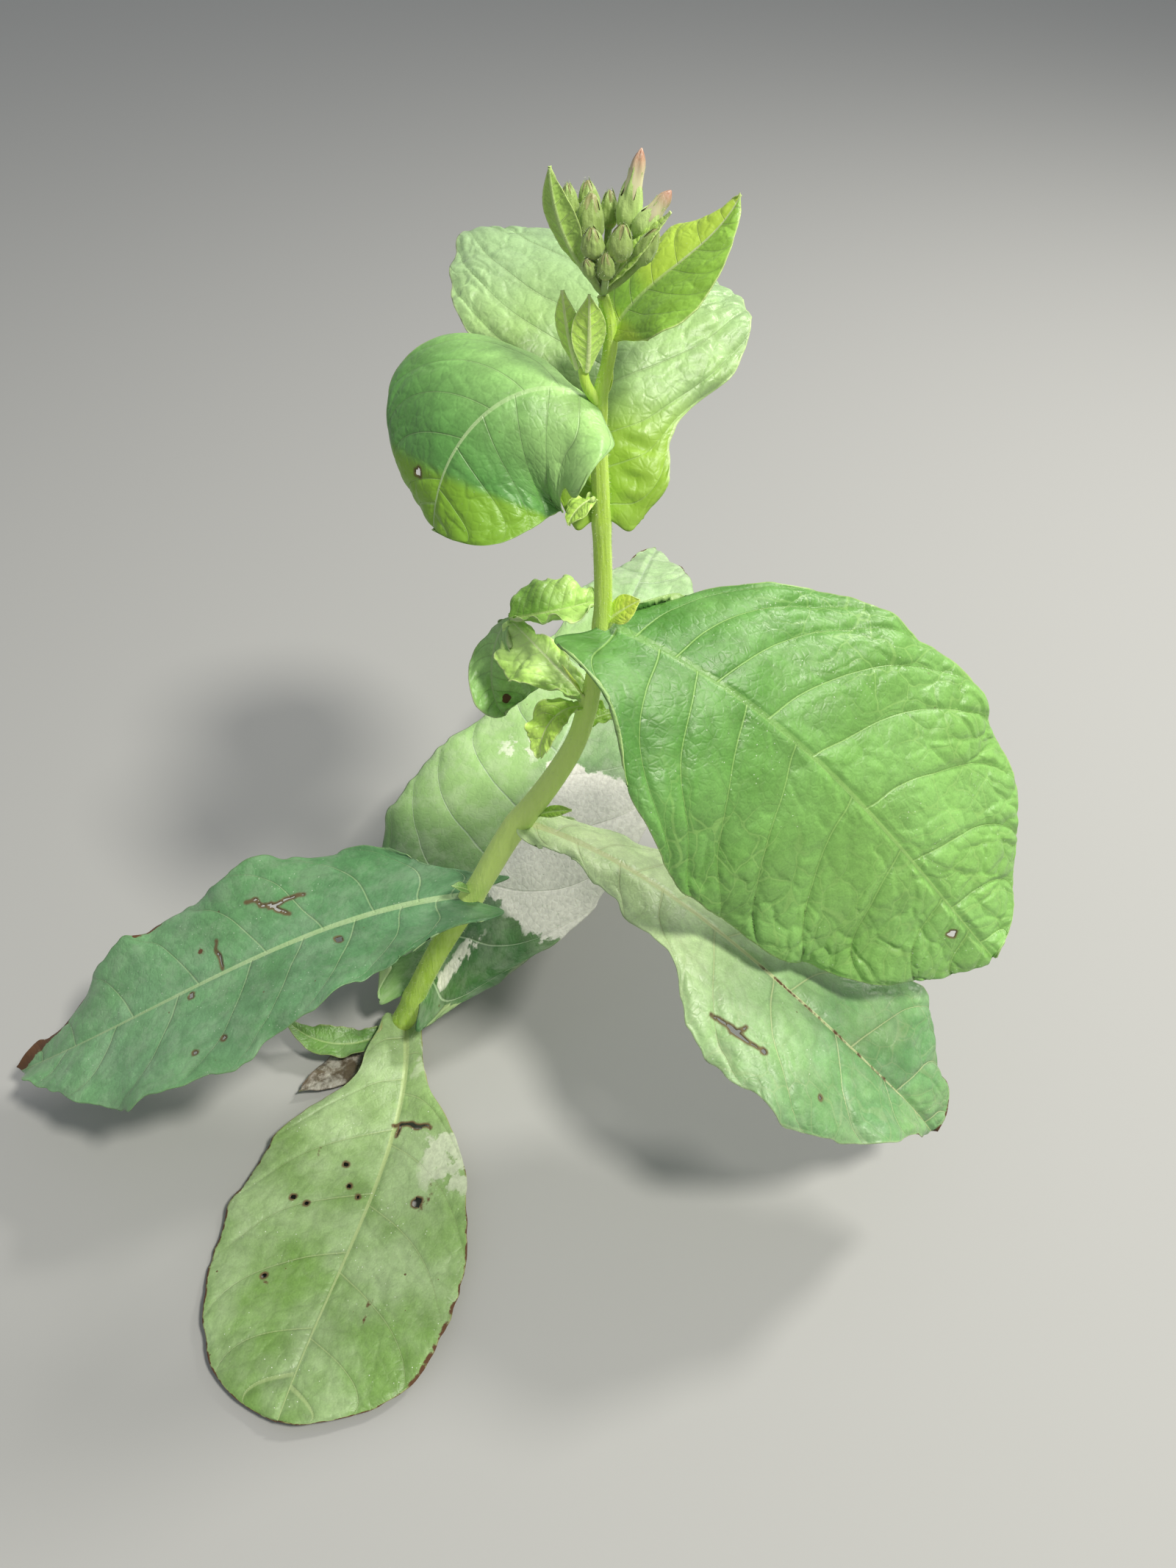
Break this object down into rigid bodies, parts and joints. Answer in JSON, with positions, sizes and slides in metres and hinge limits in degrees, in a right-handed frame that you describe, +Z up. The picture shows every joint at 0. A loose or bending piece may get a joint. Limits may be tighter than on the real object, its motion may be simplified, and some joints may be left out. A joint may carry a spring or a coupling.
{
  "type": "tobacco plant in bud",
  "caption": "A leaning tobacco plant with large broad leaves along a tapering stem, a side shoot and a head of buds; it stands on the stem's flat cut at the ground.",
  "frame": {"origin": "Middle of the flat cut across the stem's foot, at ground level", "axes": "+Z up from the ground along the plant's height; +X toward the side that the stem leans to; +Y toward the rear leaves"},
  "size_m": [0.5571, 0.5964, 0.5132],
  "materials": {
    "stem_green": "green stem skin, finely hairy",
    "stalk_green": "green stalks, hairy",
    "bud_green": "matt, finely hairy",
    "leaf_old": "satin, dusty, quilted between the veins",
    "leaf_mid": "satin, quilted between the veins",
    "leaf_young": "satin, finely hairy",
    "leaf_yellow": "satin, specked",
    "leaf_dead": "matt, shrivelled"
  },
  "bodies": {
    "root": {"stem": "stem_green", "side_shoot_stalk": "stem_green", "flower_stalks": "stalk_green", "bud_tall": "bud_green", "bud_right": "bud_green", "bud_left": "bud_green", "bud_rear_left": "bud_green", "bud_far_left": "bud_green", "bud_rear": "bud_green", "bud_front_right": "bud_green", "bud_front_left": "bud_green", "bud_low": "bud_green", "bud_low_left": "bud_green", "bud_low_right": "bud_green", "ground_leaf_rear": "leaf_old", "lower_leaf_left": "leaf_old", "lower_leaf_right": "leaf_mid", "great_leaf_right": "leaf_mid", "axil_leaf_lower": "leaf_mid", "basal_leaf": "leaf_mid", "crinkled_leaf": "leaf_young", "rear_upper_leaf": "leaf_young", "upper_leaf_left": "leaf_young", "top_leaf_right": "leaf_young", "head_bract_left": "leaf_young", "head_bract_right": "leaf_young", "shoot_leaf_left": "leaf_young", "shoot_leaf_mid": "leaf_young", "axil_leaf_crumpled": "leaf_young", "axil_leaf_rear": "leaf_young", "axil_leaf_oval": "leaf_young", "axil_leaf_upper": "leaf_young", "ground_leaf_front": "leaf_yellow", "shoot_leaf_right": "leaf_yellow", "stem_leaflet_rear": "leaf_yellow", "axil_leaf_yellow": "leaf_yellow", "axil_bract_tall": "leaf_yellow", "dead_leaf": "leaf_dead"}
  },
  "joints": []
}
